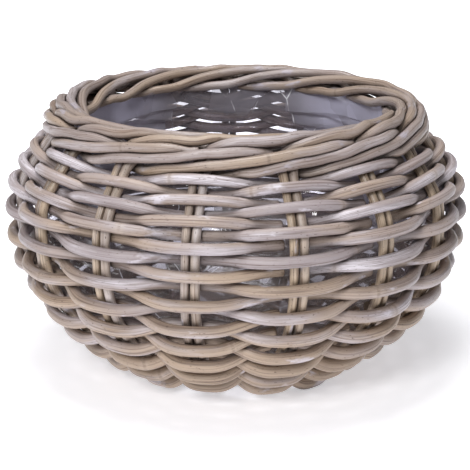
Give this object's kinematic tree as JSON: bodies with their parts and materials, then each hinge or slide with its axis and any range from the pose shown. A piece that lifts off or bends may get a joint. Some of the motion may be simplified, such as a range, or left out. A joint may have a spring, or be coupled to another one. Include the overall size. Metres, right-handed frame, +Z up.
{
  "type": "planter basket",
  "caption": "Round squat planter basket woven from rattan rods in single-rod randing over paired stakes, with a thick border of turned-down stakes and a clear film liner.",
  "frame": {"origin": "middle of the base, on the floor plane", "axes": "+Z up through the mouth; -Y is the front shown in the picture; +X to its right"},
  "size_m": [0.3972, 0.3953, 0.2348],
  "materials": {
    "stakes": "satin, lightly washed",
    "side_weave": "matt, grey-washed",
    "base_weave": "matt",
    "liner": "clear, crinkled"
  },
  "bodies": {
    "root": {"long_stake_1": "stakes", "long_stake_2": "stakes", "long_stake_3": "stakes", "long_stake_4": "stakes", "long_stake_5": "stakes", "long_stake_6": "stakes", "long_stake_7": "stakes", "long_stake_8": "stakes", "cross_stake_1": "stakes", "cross_stake_2": "stakes", "cross_stake_3": "stakes", "cross_stake_4": "stakes", "cross_stake_5": "stakes", "cross_stake_6": "stakes", "added_stake_1": "stakes", "added_stake_2": "stakes", "base_weaver": "base_weave", "weaver_01": "side_weave", "weaver_02": "side_weave", "weaver_03": "side_weave", "weaver_04": "side_weave", "weaver_05": "side_weave", "weaver_06": "side_weave", "weaver_07": "side_weave", "weaver_08": "side_weave", "weaver_09": "side_weave", "weaver_10": "side_weave", "weaver_11": "side_weave", "weaver_12": "side_weave", "weaver_13": "side_weave", "weaver_14": "side_weave", "weaver_15": "side_weave", "weaver_16": "side_weave", "weaver_17": "side_weave", "weaver_18": "side_weave", "weaver_19": "side_weave", "weaver_20": "side_weave", "weaver_21": "side_weave", "weaver_22": "side_weave", "liner": "liner"}
  },
  "joints": []
}
